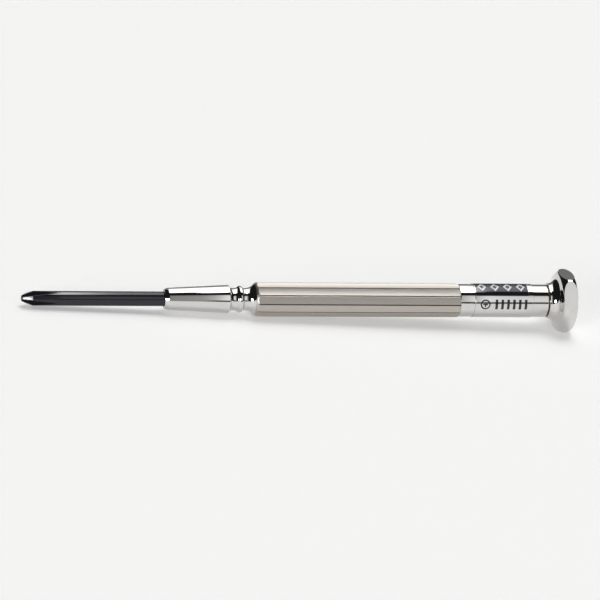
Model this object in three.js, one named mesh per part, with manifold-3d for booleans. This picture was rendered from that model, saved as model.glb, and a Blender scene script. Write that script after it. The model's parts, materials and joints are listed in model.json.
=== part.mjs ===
// Watchmaker screwdriver with a black cross-point blade, a fluted grip and a spinning finger head.
// Millimetres. The tool's axis is +X, the blade's end face is at the origin, +Z is up, and the
// head's lowest flat faces down.

import * as THREE from 'three';
import { mergeVertices } from 'three/addons/utils/BufferGeometryUtils.js';
import Module from 'manifold-3d';

const manifoldLibrary = await Module();
manifoldLibrary.setup();

// ---------------------------------------------------------------- driving dimensions

const SIDES = 36;             // facets round every turned piece
const SCREW_SIDES = 24;       // facets round the small grub screw

// clearances
const FIT_GAP = 0.03;         // radial and end gap between pieces that are pressed or glued
const RUNNING_GAP = 0.05;     // radial and end gap between pieces that turn or slide

// blade
const BLADE_D = 3.0;
const BLADE_OUT = 29.3;       // from the end face to the nose
const TIP_FACE_D = 0.7;
const TIP_EDGE_D = 1.24;      // where the end face's round meets the point
const TIP_EDGE_LENGTH = 0.15;
const TIP_LENGTH = 2.45;      // from the end face to the full round
const TIP_BOW = 0.11;         // how far the point's outline bows out of a straight cone
const CROSS_FLOOR_R = 0.3;    // from the axis to a groove's floor, at the end face
const CROSS_LENGTH = 7.6;     // where the groove floors run out of the blade
const CROSS_ANGLE = 92;       // between a groove's two walls, degrees
const TANG_LENGTH = 17.0;     // hidden in the nose piece
const TANG_FLAT_LENGTH = 13.0;
const TANG_FLAT_DEPTH = 0.35;
const TANG_CHAMFER = 0.3;

// nose piece
const NOSE_LIP = 0.37;        // wall at the front face
const NOSE_EDGE_RISE = 0.35;  // front edge chamfer, radial
const NOSE_EDGE_LENGTH = 0.8;
const NOSE_CONE_LENGTH = 12.4;
const SHOULDER_WALL = 1.38;   // wall over the bore at the end of the cone
const SHOULDER_ROUND = 0.3;
const NECK_WALL = 0.87;
const NECK_LENGTH = 1.9;      // from the shoulder to the bead
const NECK_HOLLOW = 0.18;     // the neck sinks this much below a straight cone
const BEAD_RISE = 0.42;       // bead over the neck
const BEAD_WIDTH = 1.3;
const THROAT_WALL = 0.75;     // wall behind the bead
const THROAT_LENGTH = 0.4;
const FLARE_LENGTH = 1.9;     // from the throat out to the grip
const SPIGOT_D = 4.4;         // nose to grip, and grip to sleeve
const SPIGOT_LENGTH = 6.0;
const SPIGOT_CHAMFER = 0.3;

// grip
const HANDLE_D = 6.75;        // plain part of the handle
const RIDGE_RISE = 0.19;      // the corner two flutes would meet in, over the plain part
const FLUTES = 12;
const FLUTE_DEPTH = 0.16;     // from that corner to the middle of a flute
const FLUTE_TURN = -2.5;      // from the body's roll angle to the nearest flute's middle, degrees
const LINE_WIDTH = 0.28;      // a fine V line is cut along each corner
const LINE_DEPTH = 0.2;
const GRIP_LENGTH = 43.0;
const GRIP_FRONT_LENGTH = 0.8; // the grip starts with a round that dips below the flutes
const GRIP_FRONT_DROP = 0.4;
const GRIP_REAR_LENGTH = 0.4;  // and ends with a small one, level with the sleeve
const GRIP_REAR_DROP = 0.19;

// rear sleeve and label
const SLEEVE_LENGTH = 18.7;
const SLEEVE_EDGE = 0.12;
const LABEL_START = 3.0;      // from the sleeve's front face
const LABEL_LENGTH = 12.5;
const LABEL_THICKNESS = 0.09;

// grub screw that clamps the blade
const GRUB_D = 2.0;
const GRUB_OFFSET = 8.5;      // from the nose's front face
const GRUB_SINK = 0.15;
const SLOT_WIDTH = 0.35;
const SLOT_DEPTH = 0.5;

// swivel
const SPINDLE_D = 2.2;
const SPINDLE_IN_HEAD = 3.2;
const SPINDLE_TAIL = 0.9;     // in front of the clip's groove
const BUSH_D = 5.0;
const BUSH_LENGTH = 6.0;
const CLIP_THICKNESS = 0.4;
const CLIP_WIDTH = 1.1;
const CLIP_GROOVE = 0.25;
const CLIP_OPENING = 100;     // degrees
const BALL_D = 2.5;
const SPINDLE_DIMPLE = 0.3;
const SEAT_DIMPLE = 0.4;
const SEAT_THICKNESS = 1.4;
const WASHER_THICKNESS = 0.2;
const WASHER_SINK = 0.08;     // washer's edge below the plain handle, radial
const WASHER_EDGE = 0.05;

// swivel head
const COLLAR_RISE = 0.24;     // collar over the plain handle
const COLLAR_LENGTH = 0.15;
const COLLAR_EDGE = 0.1;
const FLARE_ROUND = 1.85;     // concave round between collar and disc
const RIM_BREAK = 20;         // the rounds of flare and rim both stop short of upright, degrees
const HEAD_D = 13.3;
const RIM_ROUND = 1.75;       // the rim is fully round: half the disc's thickness
const HEAD_FLATS = 6;
const HEAD_FLAT_DEPTH = 0.8;
const DISH_D = 7.4;           // shallow finger dish in the rear face
const DISH_DEPTH = 0.45;

// the blade's wings, a flute and the grub screw are lined up on one roll angle
const BODY_ROLL = 21.5;       // degrees from -Y towards +Z

// ---------------------------------------------------------------- places worked out from them

const degrees = THREE.MathUtils.degToRad;

const bladeR = BLADE_D / 2;
const boreR = bladeR + RUNNING_GAP;
const handleR = HANDLE_D / 2;
const ridgeR = handleR + RIDGE_RISE;
const spigotR = SPIGOT_D / 2;
const spindleR = SPINDLE_D / 2;
const ballR = BALL_D / 2;
const collarR = handleR + COLLAR_RISE;
const headR = HEAD_D / 2;
const rimRingR = headR - RIM_ROUND;

const noseFront = BLADE_OUT;
const shoulder = noseFront + NOSE_EDGE_LENGTH + NOSE_CONE_LENGTH;
const bead = shoulder + NECK_LENGTH;
const throat = bead + BEAD_WIDTH;
const gripFront = throat + THROAT_LENGTH + FLARE_LENGTH;
const gripRear = gripFront + GRIP_LENGTH;
const sleeveRear = gripRear + SLEEVE_LENGTH;
const washerFront = sleeveRear + FIT_GAP;
const collarFront = washerFront + WASHER_THICKNESS + RUNNING_GAP;
const flareStart = collarFront + COLLAR_LENGTH;
const rimCentre = flareStart + FLARE_ROUND + RIM_ROUND;
const headRear = rimCentre + RIM_ROUND;
const tangRear = BLADE_OUT + TANG_LENGTH;

const bushFront = sleeveRear - BUSH_LENGTH;
const clipRear = bushFront - RUNNING_GAP;
const clipFront = clipRear - CLIP_THICKNESS;
const spindleFront = clipFront - SPINDLE_TAIL;
const spindleRear = collarFront + SPINDLE_IN_HEAD;
const ballCentre = spindleFront + SPINDLE_DIMPLE - RUNNING_GAP - ballR;
const seatRear = ballCentre - ballR - RUNNING_GAP + SEAT_DIMPLE;
const seatFront = seatRear - SEAT_THICKNESS;

const group = new THREE.Group();

// ---------------------------------------------------------------- shape helpers

// a closed geometry as a solid that can be cut and joined
function solidOf(geometry) {
  const bare = geometry.index ? geometry.toNonIndexed() : geometry.clone();
  bare.deleteAttribute('normal');
  bare.deleteAttribute('uv');
  const welded = mergeVertices(bare, 1e-5);
  return new manifoldLibrary.Manifold(new manifoldLibrary.Mesh({
    numProp: 3,
    vertProperties: new Float32Array(welded.attributes.position.array),
    triVerts: new Uint32Array(welded.index.array),
  }));
}

function geometryOf(solid) {
  const mesh = solid.getMesh();
  const geometry = new THREE.BufferGeometry();
  geometry.setAttribute('position', new THREE.BufferAttribute(mesh.vertProperties, 3));
  geometry.setIndex(new THREE.BufferAttribute(mesh.triVerts, 1));
  geometry.computeVertexNormals();
  return geometry;
}

// a piece turned about the tool's axis; the outline is [x, radius] points that start and end on
// the axis, or close on themselves round a bore
function turned(outline, sides = SIDES) {
  const points = outline.map(([x, radius]) => new THREE.Vector2(radius, x));
  return solidOf(new THREE.LatheGeometry(points, sides).rotateZ(-Math.PI / 2));
}

function ring(front, rear, innerR, outerR, edge = 0) {
  return turned([
    [front, innerR],
    [front, outerR - edge],
    [front + edge, outerR],
    [rear - edge, outerR],
    [rear, outerR - edge],
    [rear, innerR],
    [front, innerR],
  ].filter((point, i, all) => i === 0 || point[0] !== all[i - 1][0] || point[1] !== all[i - 1][1]));
}

function rod(front, rear, radius, sides = SIDES) {
  return turned([[front, 0], [front, radius], [rear, radius], [rear, 0]], sides);
}

// points of a circular arc; angles in degrees from the +X axis of the outline's plane
function arc(centreX, centreR, radius, from, to, steps) {
  return Array.from({ length: steps + 1 }, (_, i) => {
    const angle = degrees(from + (to - from) * i / steps);
    return [centreX + radius * Math.cos(angle), centreR + radius * Math.sin(angle)];
  });
}

// points of a shallow arc between two points, bowed outwards by the given height at its middle
function bowed([x0, r0], [x1, r1], bow, steps) {
  const half = Math.hypot(x1 - x0, r1 - r0) / 2;
  const slope = Math.atan2(r1 - r0, x1 - x0);
  const radius = (half ** 2 + bow ** 2) / (2 * bow);
  const middleX = (x0 + x1) / 2 - (bow - radius) * Math.sin(slope);
  const middleR = (r0 + r1) / 2 + (bow - radius) * Math.cos(slope);
  const sweep = THREE.MathUtils.radToDeg(Math.asin(half / radius));
  const upright = 90 + THREE.MathUtils.radToDeg(slope);
  return arc(middleX, middleR, radius, upright + sweep, upright - sweep, steps);
}

function box(lengthX, widthY, heightZ, x, y, z) {
  return new THREE.BoxGeometry(lengthX, widthY, heightZ).translate(x, y, z);
}

function node(name, solid, colour, roughness, metalness, parent = group) {
  const material = new THREE.MeshStandardMaterial({ color: colour, roughness, metalness });
  const mesh = new THREE.Mesh(geometryOf(solid), material);
  mesh.name = name;
  parent.add(mesh);
}

// turns a piece made with its working side on -Y to the body's roll angle
function rolled(solid) {
  return solid.rotate([-BODY_ROLL, 0, 0]);
}

// ---------------------------------------------------------------- blade

// one groove of the cross point: a long three-sided prism whose sharp edge climbs outwards
function crossGroove(quarter) {
  const depth = 3 * bladeR;
  const halfWidth = depth * Math.tan(degrees(CROSS_ANGLE / 2));
  const length = 2 * CROSS_LENGTH;
  const section = new THREE.Shape([
    new THREE.Vector2(0, 0),
    new THREE.Vector2(halfWidth, depth),
    new THREE.Vector2(-halfWidth, depth),
  ]);
  const climb = Math.atan2(bladeR - CROSS_FLOOR_R, CROSS_LENGTH);
  const prism = new THREE.ExtrudeGeometry(section, { depth: length, bevelEnabled: false });
  prism.translate(0, 0, -CROSS_LENGTH / 2);
  prism.rotateX(-climb);
  prism.translate(0, CROSS_FLOOR_R, 0);
  prism.rotateY(Math.PI / 2);
  prism.rotateX(degrees(45 + 90 * quarter));
  return solidOf(prism);
}

function makeBlade() {
  let blade = turned([
    [0, 0],
    [0, TIP_FACE_D / 2],
    ...bowed([TIP_EDGE_LENGTH, TIP_EDGE_D / 2], [TIP_LENGTH, bladeR], TIP_BOW, 5),
    [tangRear - TANG_CHAMFER, bladeR],
    [tangRear, bladeR - TANG_CHAMFER],
    [tangRear, 0],
  ]);
  for (let quarter = 0; quarter < 4; quarter++) {
    blade = blade.subtract(crossGroove(quarter));
  }
  const flatCut = solidOf(box(
    TANG_FLAT_LENGTH + 1, TANG_FLAT_DEPTH + 1, BLADE_D + 1,
    tangRear - TANG_FLAT_LENGTH / 2 + 0.5, bladeR - TANG_FLAT_DEPTH / 2 + 0.5, 0,
  ));
  return rolled(blade.subtract(flatCut));
}

// ---------------------------------------------------------------- nose piece and its screw

const grubX = noseFront + GRUB_OFFSET;
const grubFoot = bladeR - TANG_FLAT_DEPTH + FIT_GAP;

// radius of the nose cone at a place along it
function coneRadius(x) {
  const start = boreR + NOSE_LIP + NOSE_EDGE_RISE;
  const end = boreR + SHOULDER_WALL;
  return start + (end - start) * (x - noseFront - NOSE_EDGE_LENGTH) / NOSE_CONE_LENGTH;
}

// a short cylinder that stands on the tool's axis and points away from the working side
function radialRod(x, foot, top, radius) {
  const cylinder = new THREE.CylinderGeometry(radius, radius, top - foot, SCREW_SIDES);
  return solidOf(cylinder.translate(x, (foot + top) / 2, 0));
}

function makeNosePiece() {
  const neckR = boreR + NECK_WALL;
  const throatR = boreR + THROAT_WALL;
  const flareR = ridgeR - GRIP_FRONT_DROP;
  const shoulderR = coneRadius(shoulder);
  const neckStart = shoulder + SHOULDER_ROUND;
  const flareRise = flareR - throatR;
  const flareSweep = 2 * Math.atan2(flareRise, FLARE_LENGTH);
  const flareRound = FLARE_LENGTH / Math.sin(flareSweep);
  const outline = [
    [noseFront, boreR],
    [noseFront, boreR + NOSE_LIP],
    [noseFront + NOSE_EDGE_LENGTH, boreR + NOSE_LIP + NOSE_EDGE_RISE],
    ...arc(shoulder, shoulderR - SHOULDER_ROUND, SHOULDER_ROUND, 90, 20, 4),
    ...bowed([neckStart, shoulderR - SHOULDER_ROUND], [bead, neckR], -NECK_HOLLOW, 7).slice(0, -1),
    ...bowed([bead, neckR], [throat, throatR], BEAD_RISE, 8),
    ...arc(throat + THROAT_LENGTH, throatR + flareRound, flareRound,
      270, 270 + THREE.MathUtils.radToDeg(flareSweep), 7),
    [gripFront, spigotR],
    [gripFront + SPIGOT_LENGTH - SPIGOT_CHAMFER, spigotR],
    [gripFront + SPIGOT_LENGTH, spigotR - SPIGOT_CHAMFER],
    [gripFront + SPIGOT_LENGTH, 0],
    [tangRear + RUNNING_GAP, 0],
    [tangRear + RUNNING_GAP, boreR],
    [noseFront, boreR],
  ];
  const hole = radialRod(grubX, 0, handleR, GRUB_D / 2 + RUNNING_GAP);
  return rolled(turned(outline).subtract(hole));
}

function makeBladeScrew() {
  const top = coneRadius(grubX) - GRUB_SINK;
  const slot = solidOf(box(GRUB_D + 1, SLOT_DEPTH + 1, SLOT_WIDTH, grubX, top - SLOT_DEPTH / 2 + 0.5, 0));
  return rolled(radialRod(grubX, grubFoot, top, GRUB_D / 2).subtract(slot));
}

// ---------------------------------------------------------------- grip

// outline of the fluted section: each flute is a broad, almost flat hollow between two V lines
function flutedSection() {
  const halfPitch = Math.PI / FLUTES;
  const stepsPerFlute = 4;
  const lineFloor = ridgeR - LINE_DEPTH;
  const chord = ridgeR * Math.sin(halfPitch);
  const sag = ridgeR * Math.cos(halfPitch) - (ridgeR - FLUTE_DEPTH);
  const hollowR = (chord ** 2 + sag ** 2) / (2 * sag);
  const points = [];
  for (let flute = 0; flute < FLUTES; flute++) {
    const middle = 2 * halfPitch * flute;
    for (let step = 0; step <= stepsPerFlute; step++) {
      const across = (chord - LINE_WIDTH / 2) * (2 * step / stepsPerFlute - 1);
      const out = ridgeR - FLUTE_DEPTH + hollowR - Math.sqrt(hollowR ** 2 - across ** 2);
      points.push(new THREE.Vector2(
        out * Math.cos(middle) - across * Math.sin(middle),
        out * Math.sin(middle) + across * Math.cos(middle),
      ));
    }
    const corner = middle + halfPitch;
    points.push(new THREE.Vector2(lineFloor * Math.cos(corner), lineFloor * Math.sin(corner)));
  }
  return new THREE.Shape(points);
}

function makeGrip() {
  const front = gripFront + FIT_GAP;
  const blank = turned([
    [front, 0],
    [front, ridgeR - GRIP_FRONT_DROP],
    [front + GRIP_FRONT_LENGTH / 2, ridgeR - GRIP_FRONT_DROP / 4],
    [front + GRIP_FRONT_LENGTH, ridgeR],
    [gripRear - GRIP_REAR_LENGTH, ridgeR],
    [gripRear, ridgeR - GRIP_REAR_DROP],
    [gripRear, 0],
  ]);
  const bar = new THREE.ExtrudeGeometry(flutedSection(), { depth: GRIP_LENGTH + 2, bevelEnabled: false });
  bar.translate(0, 0, front - 1).rotateY(Math.PI / 2);
  bar.rotateX(Math.PI / 2 - degrees(FLUTE_TURN));
  const frontBore = rod(front - 1, gripFront + SPIGOT_LENGTH + FIT_GAP, spigotR + FIT_GAP);
  const rearBore = rod(gripRear - SPIGOT_LENGTH - FIT_GAP, gripRear + 1, spigotR + FIT_GAP);
  return rolled(blank.intersect(solidOf(bar)).subtract(frontBore).subtract(rearBore));
}

// ---------------------------------------------------------------- rear sleeve and label

function makeRearSleeve() {
  const front = gripRear + FIT_GAP;
  const borePlace = seatFront - FIT_GAP;
  const pocketR = BUSH_D / 2 + FIT_GAP;
  return turned([
    [gripRear - SPIGOT_LENGTH, 0],
    [gripRear - SPIGOT_LENGTH, spigotR - SPIGOT_CHAMFER],
    [gripRear - SPIGOT_LENGTH + SPIGOT_CHAMFER, spigotR],
    [front, spigotR],
    [front, handleR],
    [sleeveRear - SLEEVE_EDGE, handleR],
    [sleeveRear, handleR - SLEEVE_EDGE],
    [sleeveRear, pocketR],
    [borePlace, pocketR],
    [borePlace, 0],
  ]);
}

function makeLabelBand() {
  const front = gripRear + LABEL_START;
  const innerR = handleR + FIT_GAP;
  return ring(front, front + LABEL_LENGTH, innerR, innerR + LABEL_THICKNESS);
}

// ---------------------------------------------------------------- swivel

// outline points of a spherical dimple in a face, from its edge to its bottom on the axis
function dimple(face, depth, side) {
  const radius = ballR + RUNNING_GAP;
  const half = Math.acos((radius - depth) / radius);
  const steps = 4;
  return Array.from({ length: steps + 1 }, (_, i) => {
    const angle = half * (1 - i / steps);
    return [face + side * (depth - radius + radius * Math.cos(angle)), radius * Math.sin(angle)];
  });
}

function makeBallSeat() {
  const outerR = BUSH_D / 2;
  return turned([
    [seatFront, 0],
    [seatFront, outerR],
    [seatRear, outerR],
    ...dimple(seatRear, SEAT_DIMPLE, -1),
  ]);
}

function makeThrustBall() {
  const outline = arc(ballCentre, 0, ballR, 180, 0, 12);
  outline[0][1] = 0;
  outline[outline.length - 1][1] = 0;
  return turned(outline, SCREW_SIDES);
}

function makeHeadSpindle() {
  const grooveR = spindleR - CLIP_GROOVE;
  const grooveFront = clipFront - RUNNING_GAP;
  return turned([
    ...dimple(spindleFront, SPINDLE_DIMPLE, 1).reverse(),
    [spindleFront, spindleR],
    [grooveFront, spindleR],
    [grooveFront, grooveR],
    [bushFront, grooveR],
    [bushFront, spindleR],
    [spindleRear, spindleR],
    [spindleRear, 0],
  ]);
}

// a snap ring: a flat ring with a gap, sprung into the spindle's groove
function makeRetainingClip() {
  const innerR = spindleR - CLIP_GROOVE + FIT_GAP;
  const outerR = innerR + CLIP_WIDTH;
  const half = degrees(CLIP_OPENING / 2);
  const section = new THREE.Shape();
  section.absarc(0, 0, outerR, half, 2 * Math.PI - half, false);
  section.absarc(0, 0, innerR, 2 * Math.PI - half, half, true);
  section.closePath();
  const options = { depth: CLIP_THICKNESS, bevelEnabled: false, curveSegments: SIDES };
  const clip = new THREE.ExtrudeGeometry(section, options);
  return solidOf(clip.translate(0, 0, clipFront).rotateY(Math.PI / 2));
}

function makeSwivelHead() {
  const dishR = DISH_D / 2;
  const dishRound = (dishR ** 2 + DISH_DEPTH ** 2) / (2 * DISH_DEPTH);
  const dishHalf = THREE.MathUtils.radToDeg(Math.asin(dishR / dishRound));
  const pocketR = spindleR + FIT_GAP;
  let head = turned([
    [collarFront, pocketR],
    [collarFront, collarR - COLLAR_EDGE],
    [collarFront + COLLAR_EDGE, collarR],
    ...arc(flareStart, collarR + FLARE_ROUND, FLARE_ROUND, 270, 360 - RIM_BREAK, 6),
    ...arc(rimCentre, rimRingR, RIM_ROUND, 180 - RIM_BREAK, 0, 12),
    ...arc(headRear + dishRound - DISH_DEPTH, 0, dishRound, 180 - dishHalf, 180, 5).slice(0, -1),
    [headRear - DISH_DEPTH, 0],
    [spindleRear + FIT_GAP, 0],
    [spindleRear + FIT_GAP, pocketR],
    [collarFront, pocketR],
  ]);
  for (let flat = 0; flat < HEAD_FLATS; flat++) {
    const cut = box(4 * RIM_ROUND, HEAD_D, 2, rimCentre, 0, headR - HEAD_FLAT_DEPTH + 1);
    cut.rotateX(2 * Math.PI * flat / HEAD_FLATS);
    head = head.subtract(solidOf(cut));
  }
  return head;
}

// ---------------------------------------------------------------- assembly

const BLADE_BLACK = 0x23222c;
const POLISHED_NICKEL = 0xd6d5d2;
const SATIN_NICKEL = 0xb9b4ac;
const BURNISHED_STEEL = 0x55545a;
const LABEL_SILVER = 0xc4c2bf;
const BEARING_STEEL = 0xa9acb0;
const BUSH_BRONZE = 0xa9763f;
const WASHER_BRASS = 0xa8874c;

node('blade', makeBlade(), BLADE_BLACK, 0.3, 0.9);
node('nose_piece', makeNosePiece(), POLISHED_NICKEL, 0.08, 1.0);
node('blade_screw', makeBladeScrew(), BURNISHED_STEEL, 0.35, 1.0);
node('grip', makeGrip(), SATIN_NICKEL, 0.38, 1.0);
node('rear_sleeve', makeRearSleeve(), POLISHED_NICKEL, 0.1, 1.0);
node('label_band', makeLabelBand(), LABEL_SILVER, 0.25, 0.6);
node('ball_seat', makeBallSeat(), BEARING_STEEL, 0.15, 1.0);
node('thrust_ball', makeThrustBall(), BEARING_STEEL, 0.05, 1.0);
node('pivot_bush', ring(bushFront, sleeveRear, spindleR + RUNNING_GAP, BUSH_D / 2), BUSH_BRONZE, 0.35, 1.0);
node('head_spindle', makeHeadSpindle(), BEARING_STEEL, 0.15, 1.0);
node('retaining_clip', makeRetainingClip(), BURNISHED_STEEL, 0.3, 1.0);
node('thrust_washer', ring(washerFront, washerFront + WASHER_THICKNESS, spindleR + RUNNING_GAP,
  handleR - WASHER_SINK, WASHER_EDGE), WASHER_BRASS, 0.35, 1.0);
node('swivel_head', makeSwivelHead(), POLISHED_NICKEL, 0.08, 1.0);

export default group;
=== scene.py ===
# %% [markdown]
# # A watchmaker's screwdriver
# This lesson builds the looks of a small nickel-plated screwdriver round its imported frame. The tool is
# almost all turned metal, so most pieces are an outline spun round one axis. What makes such a tool look
# real is small: rounded edges that catch a line of light, flutes that fade out at their ends, and a room
# of soft lights for the nickel to reflect.

# %% The frame
import json
import math

import bmesh
import bpy
from mathutils import Matrix, Vector


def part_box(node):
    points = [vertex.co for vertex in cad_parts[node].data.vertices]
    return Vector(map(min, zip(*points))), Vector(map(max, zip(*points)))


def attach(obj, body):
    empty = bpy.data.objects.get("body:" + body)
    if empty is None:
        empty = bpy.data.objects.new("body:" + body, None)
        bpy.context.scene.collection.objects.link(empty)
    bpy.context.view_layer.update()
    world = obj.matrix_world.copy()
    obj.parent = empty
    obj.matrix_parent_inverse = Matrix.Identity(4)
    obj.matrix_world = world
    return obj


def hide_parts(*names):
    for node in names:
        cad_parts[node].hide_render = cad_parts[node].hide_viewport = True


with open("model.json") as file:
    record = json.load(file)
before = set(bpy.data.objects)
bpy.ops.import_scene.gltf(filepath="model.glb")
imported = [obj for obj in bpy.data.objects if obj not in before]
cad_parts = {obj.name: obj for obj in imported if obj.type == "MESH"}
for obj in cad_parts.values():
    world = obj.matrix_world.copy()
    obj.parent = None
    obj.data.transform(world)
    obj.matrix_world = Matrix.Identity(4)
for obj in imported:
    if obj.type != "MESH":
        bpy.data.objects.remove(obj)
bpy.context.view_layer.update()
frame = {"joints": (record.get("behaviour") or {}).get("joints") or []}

# %% [markdown]
# Every place and radius comes from the frame's own boxes, in millimetres, because a part this small is
# easier to think about that way. Each mesh is scaled to metres once, when it is finished.

# %% Sizes from the frame
MM = 0.001


def front(node):
    """Where a node starts along the tool's axis, in millimetres."""
    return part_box(node)[0].x / MM


def rear(node):
    """Where a node ends along the tool's axis, in millimetres."""
    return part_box(node)[1].x / MM


joints = {joint["name"]: joint for joint in frame["joints"]}
grub_axis = Vector(joints["blade_screw_turn"]["axis"])
# the wings of the blade, the grip's flutes and the print are set from this angle, from -Y towards +Z
ROLL = math.atan2(-grub_axis.z, grub_axis.y)

BLADE_R = 1.5
HANDLE_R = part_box("rear_sleeve")[1].y / MM
CORNER_R = HANDLE_R + 0.19
FLUTES = 12
FLUTE_TURN = math.radians(-2.5)
FRONT_ROUND = (0.8, 0.4)
SPINDLE_R = 1.1
HEAD_R = 6.65
RIM_ROUND = 1.75
# the gap that is left between two pieces that touch
GAP = 0.03
print(f"blade {rear('blade') - front('blade'):.1f} mm long, head ends at {rear('swivel_head'):.2f} mm")

# %% [markdown]
# ## Turning a piece
# A lathe makes a piece from one outline. Here the outline is a short list of corners, each with the
# radius of its round. No real edge is perfectly sharp: a round of a few hundredths of a millimetre is
# what draws the thin bright line along every edge of a polished tool. The Screw modifier could spin the
# outline too, but building the rings by hand gives clean poles on the axis and an even mesh.

# %% Rounded outlines


def rounded(corners, step=12):
    """Points of an outline. A corner is (x, radius from the axis, round), all in millimetres."""
    points = []
    for i, corner in enumerate(corners):
        here = Vector(corner[:2])
        round_r = corner[2] if len(corner) > 2 else 0
        if not round_r or i in (0, len(corners) - 1):
            points.append(tuple(here))
            continue
        to_last = (Vector(corners[i - 1][:2]) - here).normalized()
        to_next = (Vector(corners[i + 1][:2]) - here).normalized()
        half = to_last.angle(to_next) / 2
        centre = here + (to_last + to_next).normalized() * round_r / math.sin(half)
        start = here + to_last * round_r / math.tan(half) - centre
        sweep = start.angle_signed(here + to_next * round_r / math.tan(half) - centre)
        steps = max(2, math.ceil(abs(math.degrees(sweep)) / step))
        for n in range(steps + 1):
            turn = Matrix.Rotation(-sweep * n / steps, 2)
            points.append(tuple(centre + turn @ start))
    return points


def arc(centre_x, centre_r, radius, start, end, steps):
    """Points of an arc in the outline's plane; angles in degrees from the +X direction."""
    angles = [math.radians(start + (end - start) * n / steps) for n in range(steps + 1)]
    return [(centre_x + radius * math.cos(a), centre_r + radius * math.sin(a)) for a in angles]


def bowed(start, end, bow, steps):
    """Points of a shallow arc between two points, bowed outwards by the given height."""
    one, two = Vector(start), Vector(end)
    half = (two - one).length / 2
    radius = (half ** 2 + bow ** 2) / (2 * bow)
    slope = math.degrees(math.atan2(two.y - one.y, two.x - one.x))
    outwards = Vector((-(two - one).y, (two - one).x)).normalized()
    centre = (one + two) / 2 + outwards * (bow - radius)
    sweep = math.degrees(math.asin(half / radius))
    return arc(centre.x, centre.y, radius, 90 + slope + sweep, 90 + slope - sweep, steps)


test_corner = rounded([(0, 0), (0, 2, 0.5), (3, 2)])
print("a 90 degree corner becomes", len(test_corner) - 2, "points")

# %% Spinning an outline
SIDES = 192


def finish_mesh(name, shape, sharp=35):
    """Turns a bmesh in millimetres into a smooth object in metres."""
    bmesh.ops.recalc_face_normals(shape, faces=shape.faces[:])
    mesh = bpy.data.meshes.new(name)
    shape.to_mesh(mesh)
    shape.free()
    piece = bpy.data.objects.new(name, mesh)
    bpy.context.scene.collection.objects.link(piece)
    smooth(piece, sharp)
    return piece


def smooth(piece, sharp=35):
    """Shades the piece smooth, but keeps edges over the given angle sharp."""
    piece.data.shade_smooth()
    piece.data.set_sharp_from_angle(angle=math.radians(sharp))


def at_angle(x, radius, angle):
    """A point round the tool's axis; the angle starts at -Y and grows towards +Z."""
    return Vector((x, -radius * math.cos(angle), radius * math.sin(angle)))


def turned(name, outline, sides=SIDES, reach=None):
    """Spins an outline round the tool's axis. reach(radius, x, angle) can reshape the round section."""
    shape = bmesh.new()
    closed = outline[0] == outline[-1]
    rings = []
    for x, radius in outline[:-1] if closed else outline:
        if radius < 1e-6:
            rings.append([shape.verts.new((x, 0, 0))])
            continue
        angles = [2 * math.pi * n / sides for n in range(sides)]
        radii = [reach(radius, x, a) if reach else radius for a in angles]
        rings.append([shape.verts.new(at_angle(x, r, a)) for r, a in zip(radii, angles)])
    pairs = list(zip(rings, rings[1:] + rings[:1])) if closed else list(zip(rings, rings[1:]))
    for one, two in pairs:
        for n in range(sides):
            corners = [one[n % len(one)], one[(n + 1) % len(one)]]
            corners += [two[(n + 1) % len(two)], two[n % len(two)]]
            corners = [v for i, v in enumerate(corners) if v not in corners[:i]]
            if len(corners) > 2:
                shape.faces.new(corners)
    return finish_mesh(name, shape)


print("turned pieces have", SIDES, "sides")

# %% [markdown]
# Holes, slots and flats are cut with the Boolean modifier in its exact mode, and the result is applied,
# so the piece is one clean mesh. Cutting in millimetres keeps the solver far away from its rounding.

# %% Cutting and placing


def cut(piece, *cutters):
    """Cuts each cutter out of the piece and removes the cutters."""
    for cutter in cutters:
        modifier = piece.modifiers.new(cutter.name, "BOOLEAN")
        modifier.object = cutter
        modifier.operation = "DIFFERENCE"
        modifier.solver = "EXACT"
    apply_modifiers(piece)
    for cutter in cutters:
        bpy.data.objects.remove(cutter)
    smooth(piece)


def apply_modifiers(piece):
    """Replaces the piece's mesh by what its modifiers make of it."""
    view = bpy.context.evaluated_depsgraph_get()
    mesh = bpy.data.meshes.new_from_object(piece.evaluated_get(view))
    mesh.name = piece.name
    piece.modifiers.clear()
    piece.data = mesh


def extruded(name, section, length):
    """A prism of a closed [a, b] section, standing on the origin along +X."""
    shape = bmesh.new()
    ends = [[shape.verts.new((x, a, b)) for a, b in section] for x in (0, length)]
    shape.faces.new(ends[0])
    shape.faces.new(ends[1])
    count = len(section)
    for n in range(count):
        m = (n + 1) % count
        shape.faces.new((ends[0][n], ends[0][m], ends[1][m], ends[1][n]))
    return finish_mesh(name, shape)


def finished(piece, body, node, material):
    """Scales the piece to metres, gives it its finish and ties it to the frame."""
    piece.data.transform(Matrix.Scale(MM, 4))
    piece.data.materials.clear()
    piece.data.materials.append(material)
    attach(piece, body)
    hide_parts(node)
    print(f"{piece.name}: {len(piece.data.polygons)} faces")


print("pieces are shaped in millimetres and scaled by", MM)

# %% [markdown]
# ## The camera and the floor
# The tool is looked at from its tip side and from above, through a long lens, so it shows very little
# perspective. The camera is rolled until the tool's axis lies almost level in the picture. The tool itself
# lies on a bench on two points: one flat of the head, and the front end of the grip.

# %% Camera
VIEW_AZIMUTH = math.radians(15.5)
VIEW_HEIGHT = math.radians(21.0)
ROLL_OFF_LEVEL = math.radians(0.28)
FRAME_WIDTH = 0.122
CAMERA_AWAY = 1.1

towards = Vector((
    -math.sin(VIEW_AZIMUTH) * math.cos(VIEW_HEIGHT),
    -math.cos(VIEW_AZIMUTH) * math.cos(VIEW_HEIGHT),
    math.sin(VIEW_HEIGHT),
))
level = (Vector((1, 0, 0)) - towards * towards.x).normalized()
right = Matrix.Rotation(ROLL_OFF_LEVEL, 3, towards) @ level
up = towards.cross(right)
aim = Vector((0.0578, 0, 0)) - up * 0.0001

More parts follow.
